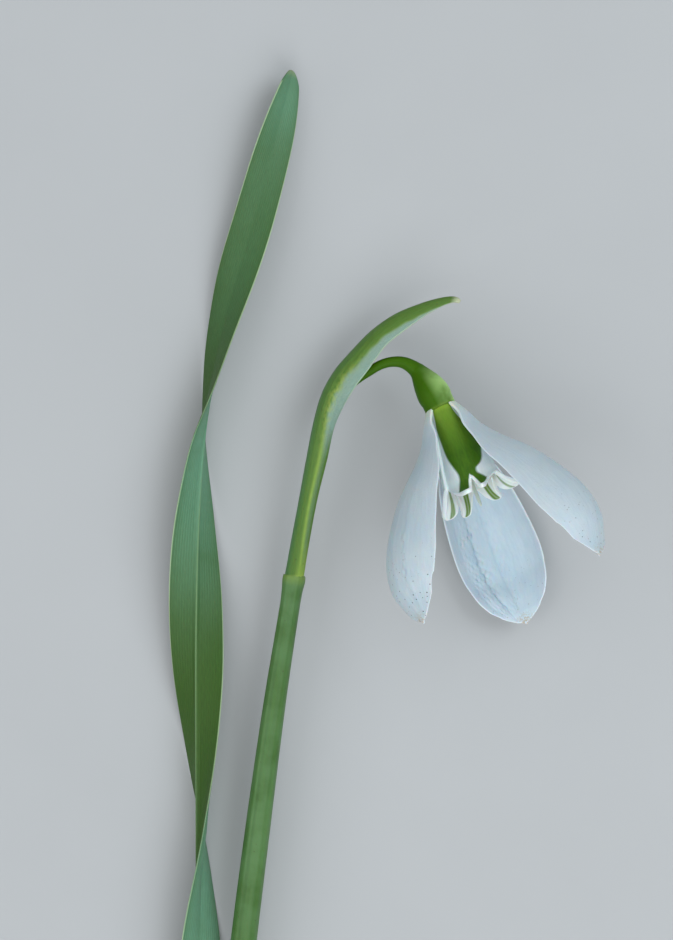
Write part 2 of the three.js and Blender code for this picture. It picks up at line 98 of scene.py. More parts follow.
LEAF_VEIN_SPAN = 2.9               # the veins are spaced as if the blade were this wide throughout
LEAF_TIP_ROUND = 2.1               # how far the corners of the tip are drawn back
LEAF_THICKNESS = 0.42
LEAF_RIB = 0.22                    # how far the middle rib stands up from the back

# Sheath at the base: an oval sleeve with a slanting mouth
SHEATH_TOP_Y = -52.6
SHEATH_SLANT = 1.6
SHEATH_INSIDE = [2.45, 2.1]        # half width and half height
SHEATH_LIP = 0.88                  # share of its length from which the wall thins to its mouth
SHEATH_WALL = 0.45
SHEATH_DROP = 0.35                 # its middle lies this far below the scape's

# Flower stalk: the line that the pedicel and ovary share, collar to petals
STALK = [
    [-9.42, 7.3, 5.06], [-8.75, 10.97, 5.2], [-7.98, 15.25, 5.4], [-7.07, 19.53, 5.6],
    [-6.2, 23.3, 5.8], [-5.1, 25.95, 5.9], [-3.2, 27.8, 6.0], [-1.45, 29.0, 6.05],
    [-0.1, 29.75, 6.1], [1.2, 30.03, 6.1], [2.35, 29.87, 6.15], [3.55, 29.13, 6.3],
    [4.5, 27.95, 6.6], [5.38, 26.6, 7.05], [6.2, 24.97, 7.4],
]
PEDICEL_RADIUS = [                 # [distance along the stalk, radius]
    [0.1, 0.42], [19.0, 0.43], [22.0, 0.48], [25.5, 0.51], [27.2, 0.58], [28.6, 0.72],
    [29.6, 0.88],
]
PEDICEL_RIM = 0.06
OVARY_START = 29.3
OVARY_RIM = 0.16
OVARY_RADIUS = [                   # [distance from the pedicel's end, radius]
    [0, 0.84], [0.5, 0.97], [1.1, 1.2], [1.9, 1.5], [2.8, 1.72], [3.4, 1.79], [3.9, 1.77],
    [4.2, 1.7],
]

# Spathe: the line of its keel, the line of its open side, and its section between them
SPATHE_KEEL = [
    [-10.6, 6.6, 5.04], [-9.76, 11.2, 5.2], [-8.98, 15.3, 5.4], [-8.2, 19.55, 5.6],
    [-7.36, 23.75, 5.8], [-6.45, 26.8, 5.9], [-5.08, 29.2, 5.95], [-3.4, 31.15, 6.0],
    [-1.17, 33.4, 6.1], [1.29, 35.1, 6.2], [3.95, 36.21, 6.3], [6.02, 36.8, 6.4],
    [7.3, 36.97, 6.4], [8.0, 36.86, 6.4], [8.36, 36.55, 6.4],
]
SPATHE_MOUTH = [
    [-8.42, 6.6, 5.04], [-7.75, 10.75, 5.2], [-6.92, 15.2, 5.4], [-5.86, 19.5, 5.6],
    [-5.08, 22.9, 5.8], [-4.05, 25.2, 5.9], [-2.9, 27.12, 5.95], [-1.48, 28.98, 6.0],
    [0.4, 31.6, 6.1], [2.3, 33.15, 6.2], [4.6, 34.8, 6.3], [6.2, 35.7, 6.4],
    [7.1, 36.1, 6.4], [7.6, 36.2, 6.4], [8.0, 36.12, 6.4],
]
SPATHE_WRAP = [                    # [share of its length, degrees wrapped each way from the keel]
    [0, 172], [0.4, 166], [0.5, 146], [0.6, 116], [0.8, 97], [1, 82],
]
SPATHE_HALF_DEPTH = [              # half its size across the wrap
    [0, 1.18], [0.35, 1.2], [0.55, 1.6], [0.72, 1.55], [0.9, 0.95], [0.97, 0.5], [1, 0.32],
]
SPATHE_GREEN = [                   # share of the way from keel to open side that is green
    [0, 0.72], [0.2, 0.6], [0.4, 0.6], [0.55, 0.46], [0.7, 0.55], [0.85, 0.72], [1, 1],
]
SPATHE_THICKNESS = 0.3
SPATHE_HALF_WIDTH = 3.2            # half its width, about, if it were laid flat

# Flower: middle of the ovary's end, and the direction in which the flower hangs
FLOWER_CENTRE = np.array([6.2, 24.97, 7.4])
FLOWER_SLANT = math.radians(22)    # from straight down the table, to the right
FLOWER_LIFT = math.radians(12)     # up from the table
OUTER_RING = 1.5                   # radius of the ring on which the outer petals stand
INNER_RING = 1.2                   # and the inner ones
FOOT_SINK = 0.12                   # how far the petals' feet reach into the ovary's end

# Outer petals: the ridge line as [along the axis, out from it], and the half width by share
OUTER_RIDGE = [
    [0, OUTER_RING], [1.4, 2.27], [3.2, 3.05], [5.2, 4.64], [8.0, 7.38], [10.5, 9.28], [13.0, 10.8],
    [15.5, 11.73], [18.0, 11.93], [20.2, 11.24], [22.1, 10.73],
]
OUTER_HALF_WIDTH = [
    [0, 0.6], [0.06, 0.79], [0.12, 1.48], [0.2, 2.37], [0.3, 3.92], [0.4, 4.73], [0.5, 5.28],
    [0.6, 5.6], [0.68, 5.61], [0.77, 5.28], [0.85, 4.7], [0.92, 3.4], [1, 1.75],
]
OUTER_TIP_ROUND = 0.078            # share of the reach by which the end's corners draw back
OUTER_CUPPING = 0.19               # 1/mm, curvature across the petal
OUTER_THICKNESS = 0.34

# Inner petals: the line of the cup as [along the axis, out from it, 0]
INNER_LINE = [
    [0, INNER_RING, 0], [1.5, 1.42, 0], [2.5, 1.66, 0], [4.8, 2.2, 0], [6.8, 2.68, 0],
    [8.2, 2.95, 0], [9.1, 3.1, 0], [9.8, 3.4, 0], [10.25, 3.85, 0], [10.4, 4.4, 0],
]
INNER_HALF_ANGLE = [               # degrees that each covers, either way from its middle
    [0, 54], [1.0, 57], [1.8, 60], [2.6, 63], [3.6, 65], [8.0, 65], [9.5, 60], [11.4, 54],
]
FRONT_END = [                      # [place across from -1 to 1, reach as a share of the line]
    [-1, 0.82], [-0.8, 0.84], [-0.5, 0.895], [-0.3, 0.97], [-0.17, 0.995], [-0.1, 0.92],
    [-0.03, 0.82], [0.04, 0.86], [0.11, 0.96], [0.2, 1], [0.4, 0.975], [0.6, 0.935],
    [0.8, 0.89], [1, 0.84],
]
LEFT_END = [
    [-1, 0.74], [-0.75, 0.79], [-0.55, 0.88], [-0.35, 0.96], [-0.15, 0.98], [-0.02, 0.94],
    [0.1, 0.82], [0.16, 0.75], [0.22, 0.82], [0.32, 0.96], [0.48, 1], [0.64, 0.97],
    [0.76, 0.86], [0.88, 0.78], [1, 0.74],
]
RIGHT_END = [
    [-1, 0.78], [-0.85, 0.84], [-0.75, 0.93], [-0.6, 1], [-0.42, 0.98], [-0.28, 0.9],
    [-0.15, 0.8], [-0.05, 0.79], [0.08, 0.86], [0.2, 0.96], [0.4, 1], [0.6, 0.97],
    [0.75, 0.88], [0.88, 0.8], [1, 0.76],
]
INNER_LOBE_HALF = 0.19             # half a lobe's width, on the same -1 to 1
INNER_FLAP = 0.6                   # how far a turned lobe's edges lean out and in
INNER_BEAD = 0.45                  # how much thicker the lips are, as a share
INNER_OVERLAP = 0.22               # each petal's right edge stands out, its left edge in
INNER_THICKNESS = 0.34
MARK_LEFT = [                      # [distance along the petal, edge of the green mark in degrees]
    [0, 50], [1.5, 53], [3.0, 50], [4.5, 44], [6.0, 37], [7.2, 28], [8.2, 21.5], [8.8, 21.5],
    [9.4, 25], [10.2, 29], [11.4, 29],
]
MARK_RIGHT = [
    [0, 60], [1.2, 62], [2.3, 72], [4.2, 74], [5.6, 61], [6.7, 47], [7.4, 39], [7.9, 30],
    [8.3, 18], [8.8, 16], [9.2, 21], [9.9, 29], [11.4, 27],
]
MARK_GAP = [                       # half the width, in degrees, of the white between its legs
    [8.4, -4], [8.8, 1], [9.2, 5], [9.8, 8.5], [10.6, 10], [11.4, 10],
]

# [name, degrees round from the underside, opening, reach, height of its ribs, soil, seed]
OUTER_PETALS = [
    ["back", -0.5, 0.875, 23.2, 0.2, 0.3, 11],
    ["left", -121.5, 1.13, 21.55, 0.06, 1.2, 12],
    ["right", 121.5, 1.013, 21.8, 0.05, 0.7, 13],
]
# [name, degrees round, stretch along the axis, flare, end, lobes, side whose lobe leans]
INNER_PETALS = [
    ["front", 180, 0.99, 1.0, FRONT_END, ((-0.2, 0.1), (0.27, 0.1)), 0],
    ["left", -57, 1.08, 0.75, LEFT_END, ((-0.14, 0.085), (0.55, 0.13)), -1],
    ["right", 60, 1.02, 1.05, RIGHT_END, ((-0.54, 0.13), (0.34, 0.06)), 1],
]

# Stamens and style
STAMEN_START = 0.1
FILAMENT_END = 2.7                 # where it swells into the anther
FILAMENT_RADIUS = 0.17
ANTHER_LENGTH = 5.4
ANTHER_RADIUS = [[0, 0.18], [0.12, 0.4], [0.35, 0.46], [0.7, 0.33], [0.92, 0.16], [1, 0.06]]
STAMEN_CIRCLE = 0.68
STAMEN_LEAN = math.radians(3.5)
STYLE_START = 0.02
STYLE_LENGTH = 11.4
STYLE_RADIUS = [[0, 0.18], [0.75, 0.17], [0.92, 0.2], [1, 0.1]]

# Camera: straight above, at the height that gives one image point per 0.107 mm at the flower
IMAGE_SIZE = [673, 940]
POINT = 0.107
CAMERA_ABOVE_FLOWER = 419.0
FLOWER_HEIGHT = 5.0
VIEW_CENTRE = [-4.954, 18.4575]
SENSOR = 36.0

TABLE_HALF_WIDTH = 1.5             # m
LAMPS = [                          # [name, place in mm, width in m, watts, tint]
    ["key", [330, 190, 420], 0.35, 1.3, (0.87, 0.95, 1.0)],
    ["fill", [-380, -60, 380], 0.45, 0.9, (0.94, 0.97, 1.0)],
    ["front", [60, -330, 520], 0.5, 1.8, (0.96, 0.98, 1.0)],
]
SKY_TINT = (0.94, 0.97, 1.0)
SKY_STRENGTH = 0.53


# ---- Curves -----------------------------------------------------------------------------

def through(pairs):
    """A smooth value through [position, value] pairs: a cubic between neighbours, with each
    slope taken from the pairs on either side."""
    places, values = np.array(pairs, float).T
    last = len(places) - 1
    before = np.maximum(np.arange(last + 1) - 1, 0)
    after = np.minimum(np.arange(last + 1) + 1, last)
    slopes = (values[after] - values[before]) / (places[after] - places[before])

    def at(position):              # the cubic that has both ends' values and slopes
        i = np.clip(np.searchsorted(places, position) - 1, 0, last - 1)
        span = places[i + 1] - places[i]
        t = np.clip((position - places[i]) / span, 0, 1)
        r = 1 - t
        return (values[i] * (1 + 2 * t) * r * r + values[i + 1] * (1 + 2 * r) * t * t
                + slopes[i] * span * t * r * r - slopes[i + 1] * span * t * t * r)
    return at


def line_through(points):
    """A smooth line through points, measured by the straight distances between them, and its
    length."""
    points = np.array(points, float)
    at = np.append(0, np.cumsum(np.linalg.norm(np.diff(points, axis=0), axis=1)))
    axes = [through(np.stack([at, points[:, k]], 1)) for k in range(3)]
    return (lambda distance: np.stack([axis(distance) for axis in axes], -1)), at[-1]


def columns_of(rows):
    """One smooth value for each column after the first, all by the first column."""
    return [through([[row[0], row[k]] for row in rows]) for k in range(1, len(rows[0]))]


def line_by_y(x, z):
    """The line that stands at x(y), z(y) for each y."""
    return lambda y: np.stack([x(y), y, z(y)], -1)


def ramp(value, low, high):
    """0 up to low and 1 from high, straight between; low may be the larger."""
    return np.clip((value - low) / (high - low), 0, 1)


def hill(value, middle, width):
    """1 at the middle, falling off both ways as exp of minus the square of steps of `width`."""
    return np.exp(-(((value - middle) / width) ** 2))


def unit(vectors):
    """The vectors divided by their lengths."""
    return vectors / np.linalg.norm(vectors, axis=-1, keepdims=True)


def directions(line, position):
    """The line's own directions at each position: along it, level across it, and over both."""
    along = unit(line(position + 0.02) - line(position - 0.02))
    across = unit(np.cross(along, UP))
    return along, across, np.cross(across, along)


def wave(value, seed):
    """A smooth wandering value between about -1 and 1: the mean of five sines whose lengths
    and starts come from the seed."""
    draw = np.random.default_rng(seed)
    rates, starts = draw.uniform(0.6, 2.4, 5), draw.uniform(0, 2 * np.pi, 5)
    return np.sin(np.multiply.outer(value, rates) + starts).mean(-1) * 1.6


# ---- Meshes -----------------------------------------------------------------------------

RIM_STEPS = 6                      # rows of faces round each rounded rim


def piece(name, node, slot, finish, points, faces, marks):
    """A mesh of points in mm and faces, with one number or vector a point in each of its
    marks; it rides on the plant and stands for one CAD node. A point that would lie below the
    table is lifted to it."""
    mesh = bpy.data.meshes.new(name)
    above_table = np.maximum(points, [-np.inf, -np.inf, 0])
    mesh.from_pydata((above_table * MM).tolist(), [], faces)
    for mark, values in marks.items():
        kind, field = ("FLOAT", "value") if values.ndim == 1 else ("FLOAT_VECTOR", "vector")
        mesh.attributes.new(mark, kind, "POINT").data.foreach_set(field, values.ravel())
    mesh.polygons.foreach_set("use_smooth", np.ones(len(mesh.polygons), bool))
    mesh.materials.append(finish)
    mesh.update()
    thing = bpy.data.objects.new(name, mesh)
    bpy.context.scene.collection.objects.link(thing)
    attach(thing, "root")
    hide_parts(node)


def edge_packed(count, rim):
    """`count` + 1 shares from 0 to 1: even in the middle, and packed towards both ends by a
    quarter circle within `rim`."""
    ends = rim * (1 - np.cos(np.linspace(0, np.pi / 2, RIM_STEPS + 1)))
    even = np.linspace(rim, 1 - rim, count + 1 - 2 * RIM_STEPS)
    return np.concatenate([ends[:-1], even, 1 - ends[-2::-1]])


def stations_between(start, end, count, rim):
    """`count` + 1 places from start to end, packed within `rim` of either."""
    return start + (end - start) * edge_packed(count, rim / (end - start))


def grid_faces(index, flip=False):
    """Four-cornered faces between neighbouring entries of a grid of point numbers."""
    faces = np.stack([index[:-1, :-1], index[1:, :-1], index[1:, 1:], index[:-1, 1:]], -1)
    faces = faces.reshape(-1, 4)
    return faces[:, ::-1] if flip else faces


def blade(middle, thickness, columns, rows, rims, marks):
    """A thin blade. middle(u, v) is its middle surface, u from -1 to 1 across and v from 0 to
    1 along. The faces stand thickness(u, v) = (front, back) off it along its normal, and
    that falls to nothing at the border by a quarter ellipse as wide as `rims`. The two faces
    share the border's points. marks(u, v, side) gives the numbers kept with each point,
    side being 1 on the front, -1 on the back and 0 on the border."""
    u, v = np.meshgrid(2 * edge_packed(columns, rims[0] / 2) - 1, edge_packed(rows, rims[1]),
                       indexing="ij")
    points = middle(u, v)
    normal = unit(np.cross(np.gradient(points, axis=0), np.gradient(points, axis=1)))
    sideways = 1 - np.minimum((1 - np.abs(u)) / rims[0], 1)
    endways = 1 - np.minimum(np.minimum(v, 1 - v) / rims[1], 1)
    swell = np.sqrt(1 - sideways ** 2) * np.sqrt(1 - endways ** 2)
    front, back = (side * swell for side in thickness(u, v))
    inside = np.s_[1:-1, 1:-1]
    both = [(points + normal * front[..., None]).reshape(-1, 3),
            (points - normal * back[..., None])[inside].reshape(-1, 3)]
    index = np.arange(u.size).reshape(u.shape)
    under = index.copy()
    under[inside] = u.size + np.arange((u.shape[0] - 2) * (u.shape[1] - 2)).reshape(
        u.shape[0] - 2, -1)
    border = np.ones(u.shape)
    border[inside] = 0
    kept = marks(u, v, 1 - border)
    kept_under = marks(u[inside], v[inside], -1 + 0 * u[inside])
    values = {key: np.concatenate([kept[key].reshape(u.size, *kept[key].shape[2:]),
                                   kept_under[key].reshape(-1, *kept[key].shape[2:])])
              for key in kept}
    faces = np.concatenate([grid_faces(index), grid_faces(under, flip=True)])
    return np.concatenate(both), faces.tolist(), values


def rod(line, radius, stations, sides, marks):
    """A round bar along a line: at each station a ring of points stands square to the line at
    radius(station, angle), and each end closes on a point of the line."""
    s, angle = np.meshgrid(stations, np.arange(sides) * 2 * np.pi / sides, indexing="ij")
    _, across, over = directions(line, s)
    r = radius(s, angle)[..., None]
    points = line(s) + r * (np.cos(angle)[..., None] * across + np.sin(angle)[..., None] * over)
    index = np.arange(s.size).reshape(s.shape)
    index = np.concatenate([index, index[:, :1]], 1)
    first, last = s.size, s.size + 1
    ends = np.stack([line(stations[0]), line(stations[-1])])
    caps = [np.stack([index[0, 1:], index[0, :-1], np.full(sides, first)], 1),
            np.stack([index[-1, :-1], index[-1, 1:], np.full(sides, last)], 1)]
    faces = grid_faces(index, flip=True).tolist() + np.concatenate(caps).tolist()
    kept = marks(s, angle)
    values = {key: np.concatenate([kept[key].reshape(s.size, *kept[key].shape[2:]),
                                   kept[key][[0, -1], 0]]) for key in kept}
    return np.concatenate([points.reshape(-1, 3), ends]), faces, values


def rounded(s, start, end, radius, rim):
    """The radius, drawn in by `rim` along a quarter circle at either end."""
    near = 1 - np.minimum(np.minimum(s - start, end - s) / rim, 1)
    return radius - rim * (1 - np.sqrt(1 - near ** 2))


# ---- Finishes ---------------------------------------------------------------------------

def linear_colour(text):
    """A colour written as six hex digits, as the shader's linear red, green and blue."""
    levels = np.array([int(text[k:k + 2], 16) for k in (0, 2, 4)]) / 255
    linear = np.where(levels <= 0.04045, levels / 12.92, ((levels + 0.055) / 1.055) ** 2.4)
    return (*linear.tolist(), 1.0)


class Finish:
    """The nodes of one material. A socket takes a number, a vector, a colour as six hex digits
    or another node's output."""

    def __init__(self, name, **shader):
        self.material = bpy.data.materials.new(name)
        self.material.use_nodes = True
        self.tree = self.material.node_tree
        self.shader = self.tree.nodes["Principled BSDF"]
        for socket, value in shader.items():
            self.put(self.shader.inputs[socket.replace("_", " ")], value)

    def put(self, socket, value):
        """Links an output to the socket, or sets the socket's own value."""
        if isinstance(value, bpy.types.NodeSocket):
            self.tree.links.new(value, socket)
        else:
            socket.default_value = linear_colour(value) if isinstance(value, str) else value

    def node(self, kind, inputs, output=0, **settings):
        """A node with its settings and its inputs by place or name; gives one output."""
        made = self.tree.nodes.new(kind)
        for setting, value in settings.items():
            setattr(made, setting, value)
        for place, value in inputs.items():
            self.put(made.inputs[place], value)
        return made.outputs[output]

    def mark(self, name):
        """A number kept with the mesh's points."""
        return self.node("ShaderNodeAttribute", {}, "Fac", attribute_name=name)

    def place(self, name, stretch):
        """A vector kept with the mesh's points, each part of it stretched."""
        vector = self.node("ShaderNodeAttribute", {}, "Vector", attribute_name=name)
        return self.node("ShaderNodeVectorMath", {0: vector, 1: stretch}, operation="MULTIPLY")

    def here(self):
        """The point's own place in the plant's frame."""
        return self.node("ShaderNodeTexCoord", {}, "Object")

    def times(self, a, b):
        """Number a times number b, held between 0 and 1."""
        return self.node("ShaderNodeMath", {0: a, 1: b}, operation="MULTIPLY", use_clamp=True)

    def times_and(self, a, b, c):
        """Number a times number b, and c added."""
        return self.node("ShaderNodeMath", {0: a, 1: b, 2: c}, operation="MULTIPLY_ADD")

    def noise(self, vector, scale, detail=3.0, rough=0.55):
        """Soft noise between 0 and 1."""
        sockets = {"Vector": vector, "Scale": scale, "Detail": detail, "Roughness": rough}
        return self.node("ShaderNodeTexNoise", sockets, "Fac")

    def step(self, value, low, high):
        """0 below low and 1 above high, smooth between; low may be the larger."""
        sockets = {"Value": value, "From Min": low, "From Max": high}
        return self.node("ShaderNodeMapRange", sockets, interpolation_type="SMOOTHSTEP")

    def mix(self, share, a, b):
        """Colour a blended into colour b by the share."""
        return self.node("ShaderNodeMix", {0: share, 6: a, 7: b}, 2, data_type="RGBA")

    def waves(self, value, rate):
        """Even waves between 0 and 1 of a number, `rate` in radians for each 1."""
        turned = self.node("ShaderNodeMath", {0: value, 1: rate}, operation="MULTIPLY")
        cosine = self.node("ShaderNodeMath", {0: turned}, operation="COSINE")
        return self.times_and(cosine, 0.5, 0.5)

    def specks(self, scale, size):
        """Small scattered spots: 1 in each, 0 between."""
        sockets = {"Vector": self.here(), "Scale": scale, "Randomness": 1.0}
        spot = self.node("ShaderNodeTexVoronoi", sockets, "Distance")
        return self.step(spot, size, size * 0.6)

    def roughen(self, value, low, high):
        """Roughness from low to high by a value between 0 and 1."""
        sockets = {"Value": value, "To Min": low, "To Max": high}
        self.put(self.shader.inputs["Roughness"], self.node("ShaderNodeMapRange", sockets))

    def skin(self, base, height, relief):
        """The surface's colour, and a fine relief on it, in metres where the height is 1."""
        self.put(self.shader.inputs["Base Color"], base)
        bump = {"Height": height, "Distance": relief, "Strength": 1.0}
        self.put(self.shader.inputs["Normal"], self.node("ShaderNodeBump", bump))
        return self.material


def leaf_finish():
    """Green under a pale bloom, with parallel veins, a pale middle rib and pale margins."""
    f = Finish("leaf", Subsurface_Weight=0.1, Subsurface_Scale=0.0005, Specular_IOR_Level=0.3)
    streak = f.noise(f.place("place", (26.0, 1.1, 1.0)), 1.0)
    cloud = f.noise(f.here(), 260.0)
    mottle = f.noise(f.here(), 2600.0, 2.0)
    veins = f.waves(f.mark("across"), 21.0)
    green = f.mix(streak, "254408", "3a6017")
    bloomed = f.mix(streak, "568567", "6e9c80")
    share = f.times(f.mark("bloom_and_painted_highlight"), f.step(cloud, -0.35, 0.55))
    base = f.mix(share, green, bloomed)
    base = f.mix(f.times(veins, 0.16), base, "27480c")
    base = f.mix(f.times(f.mark("rib"), 0.5), base, "86a878")
    margin = f.times(f.step(f.mark("edge"), 0.12, 0.04), f.mark("pale_edge"))
    base = f.mix(margin, base, "b3c9a2")
    base = f.mix(f.mark("tip"), base, "8f9a72")
    f.roughen(mottle, 0.48, 0.62)
    return f.skin(base, f.times_and(veins, 0.7, mottle), 0.00002)


def sheath_finish():
    """Thin papery membrane: pale, veined lengthwise, with a brownish mouth."""
    f = Finish("basal_sheath", Roughness=0.5, Subsurface_Weight=0.3, Subsurface_Scale=0.001)
    streak = f.noise(f.place("grain", (900.0, 900.0, 60.0)), 1.0)
    veins = f.step(streak, 0.42, 0.62)
    base = f.mix(streak, "dfe2c4", "c3cda0")
    base = f.mix(f.times(veins, 0.4), base, "a9bb82")
    base = f.mix(f.times(f.mark("rim"), 0.6), base, "cdb98c")
    return f.skin(base, streak, 0.00005)


def stem_finish(name, dark, light, bloom_and_painted_highlight, shine):
    """Fleshy green with fine lengthwise streaks, a thin bloom (on the ovary a pale painted
    highlight down one side instead), a few specks of soil, a yellow green ring where it joins
    the next piece and a pale cut end."""
    f = Finish(name, Subsurface_Weight=0.12, Subsurface_Scale=0.0005, Roughness=0.45,
               Specular_IOR_Level=shine)
    streak = f.noise(f.place("grain", (1500.0, 1500.0, 110.0)), 1.0, 4.0)
    cloud = f.noise(f.here(), 330.0)
    mottle = f.noise(f.here(), 3200.0, 2.0)
    base = f.mix(streak, dark, light)
    # real waxy bloom on the scape; on the ovary this is a painted highlight down its lit side
    share = f.times(f.mark("bloom_and_painted_highlight"), f.step(cloud, 0.25, 0.65))
    base = f.mix(share, base, bloom_and_painted_highlight)
    specks = f.times(f.specks(1100.0, 0.08), f.mark("soil"))
    base = f.mix(specks, base, "3c3320")
    base = f.mix(f.mark("ring"), base, "8fa545")
    base = f.mix(f.mark("cut"), base, "a9ba80")
    return f.skin(base, f.times_and(streak, 2.0, mottle), 0.00002)


def spathe_finish():
    """Green keels joined by a thin whitish membrane, a lime line where they meet, and
    yellowish cross-hatching in the middle."""
    f = Finish("spathe", Roughness=0.48, Subsurface_Weight=0.2, Subsurface_Scale=0.0007,
               Specular_IOR_Level=0.35)
    streak = f.noise(f.place("place", (9.0, 0.9, 1.0)), 1.0)
    patch = f.noise(f.place("place", (3.0, 1.6, 1.0)), 1.0, 3.0, 0.6)
    net = f.noise(f.place("place", (17.0, 13.0, 1.0)), 1.0, 3.0, 0.6)
    green = f.mix(streak, "3d5f1a", "5a802c")
    green = f.mix(f.times(f.mark("cool"), 0.7), green, "497850")
    thin = f.mix(streak, "597a6b", "7b978a")
    thin = f.mix(f.times(f.step(net, 0.46, 0.58), 0.5), thin, "a9bcab")
    lime = f.mix(patch, "7e9f30", "9ab550")
    hatched = f.times(f.mark("hatch"), f.step(patch, 0.38, 0.58))
    base = f.mix(f.mark("membrane"), green, thin)
    base = f.mix(f.mark("lime"), base, lime)
    base = f.mix(f.times(hatched, f.step(net, 0.35, 0.6)), base, "93a44c")
    margin = f.times(f.step(f.mark("edge"), 0.16, 0.04), 0.7)
    base = f.mix(margin, base, "b6c9ac")
    base = f.mix(f.mark("tip"), base, "b6bd9c")
    base = f.mix(f.mark("foot"), base, "9fb257")
    base = f.mix(f.times(f.specks(1000.0, 0.08), 0.6), base, "3c3322")
    return f.skin(base, f.times_and(streak, 1.5, net), 0.00003)


def petal_finish():
    """Cool white flesh with fine lengthwise veins, a painted highlight along the thin margin,
    painted shade in the creases, outer faces painted darker than inner ones as painted shade,
    a brownish tip and a few specks of soil."""
    f = Finish("outer_petal", Subsurface_Weight=0.35, Subsurface_Scale=0.0008)
    streak = f.noise(f.place("place", (16.0, 0.5, 1.0)), 1.0, 4.0)
    cloud = f.noise(f.here(), 350.0)
    fine = f.noise(f.here(), 5200.0, 2.0)
    # the outer face is painted darker and the inner face lighter: painted shade and light that even
    # out how the lamps fall on the petals
    inner = f.mix(streak, "b6cad5", "cad9e1")
    outer = f.mix(streak, "adbdc4", "bfccd1")
    base = f.mix(f.mark("outer"), inner, outer)
    base = f.mix(f.times(f.step(cloud, 0.35, 0.7), 0.25), base, "a2bccd")
    # a painted highlight along the thin margin
    margin = f.times(f.step(f.mark("edge"), 0.16, 0.04), 0.4)
    base = f.mix(margin, base, "eef4f8")
    # painted shade in the creases between the ribs
    base = f.mix(f.times(f.mark("painted_crease_shade"), 0.4), base, "8fa8b8")
    base = f.mix(f.mark("foot"), base, "cdd8c0")
    brown = f.times(f.mark("tip"), f.step(fine, 0.42, 0.62))
    base = f.mix(brown, base, "a99d80")
    soil = f.times(f.specks(1900.0, 0.16), f.mark("soil"))
    base = f.mix(soil, base, "35302a")
    f.roughen(fine, 0.48, 0.64)
    return f.skin(base, f.times_and(streak, 2.2, fine), 0.00002)


def inner_petal_finish():
    """White with the green mark outside, green stripes inside, and thick white lips."""
    f = Finish("inner_petal", Subsurface_Weight=0.25, Subsurface_Scale=0.0005,
               Specular_IOR_Level=0.3)
    streak = f.noise(f.place("place", (12.0, 0.9, 1.0)), 1.0, 3.0)
    fine = f.noise(f.here(), 5200.0, 2.0)
    white = f.mix(streak, "e2eeee", "f2f8f6")
    green = f.mix(streak, "2d5400", "4e7c04")
    green = f.mix(f.mark("foot"), green, "86a630")
    green = f.mix(f.mark("inside"), green, "648828")
    base = f.mix(f.mark("mark"), white, green)
    base = f.mix(f.times(f.mark("lip"), 0.7), base, "eef4f2")
    f.roughen(fine, 0.42, 0.58)
    return f.skin(base, f.times_and(streak, 2.0, fine), 0.00002)


def stamen_finish():
    """Orange-yellow pollen sacs, grainy, on whitish filaments."""
    f = Finish("stamens", Roughness=0.62, Subsurface_Weight=0.15, Subsurface_Scale=0.0004)
    fine = f.noise(f.here(), 9000.0)
    pollen = f.mix(fine, "d98a1f", "f2b84a")
    filament = f.mix(fine, "dfe5cf", "eef2e2")
    return f.skin(f.mix(f.mark("anther"), filament, pollen), fine, 0.00003)


def style_finish():
    """Whitish green, paler to its tip."""
    f = Finish("style", Roughness=0.45, Subsurface_Weight=0.3, Subsurface_Scale=0.0005)
    fine = f.noise(f.here(), 4000.0, 2.0)
    body = f.mix(fine, "a8c0b0", "bfd0c6")
    return f.skin(f.mix(f.mark("tip"), body, "cdd8cc"), fine, 0.00002)


# ---- Leaf, scape and sheath -------------------------------------------------------------

def grain(angle, size, along):
    """A place for streaks to follow, in metres: round a circle of `size` mm by the angle's
    cosine and sine, and along the bar."""
    return np.stack([np.cos(angle) * size * MM, np.sin(angle) * size * MM, along * MM], -1)


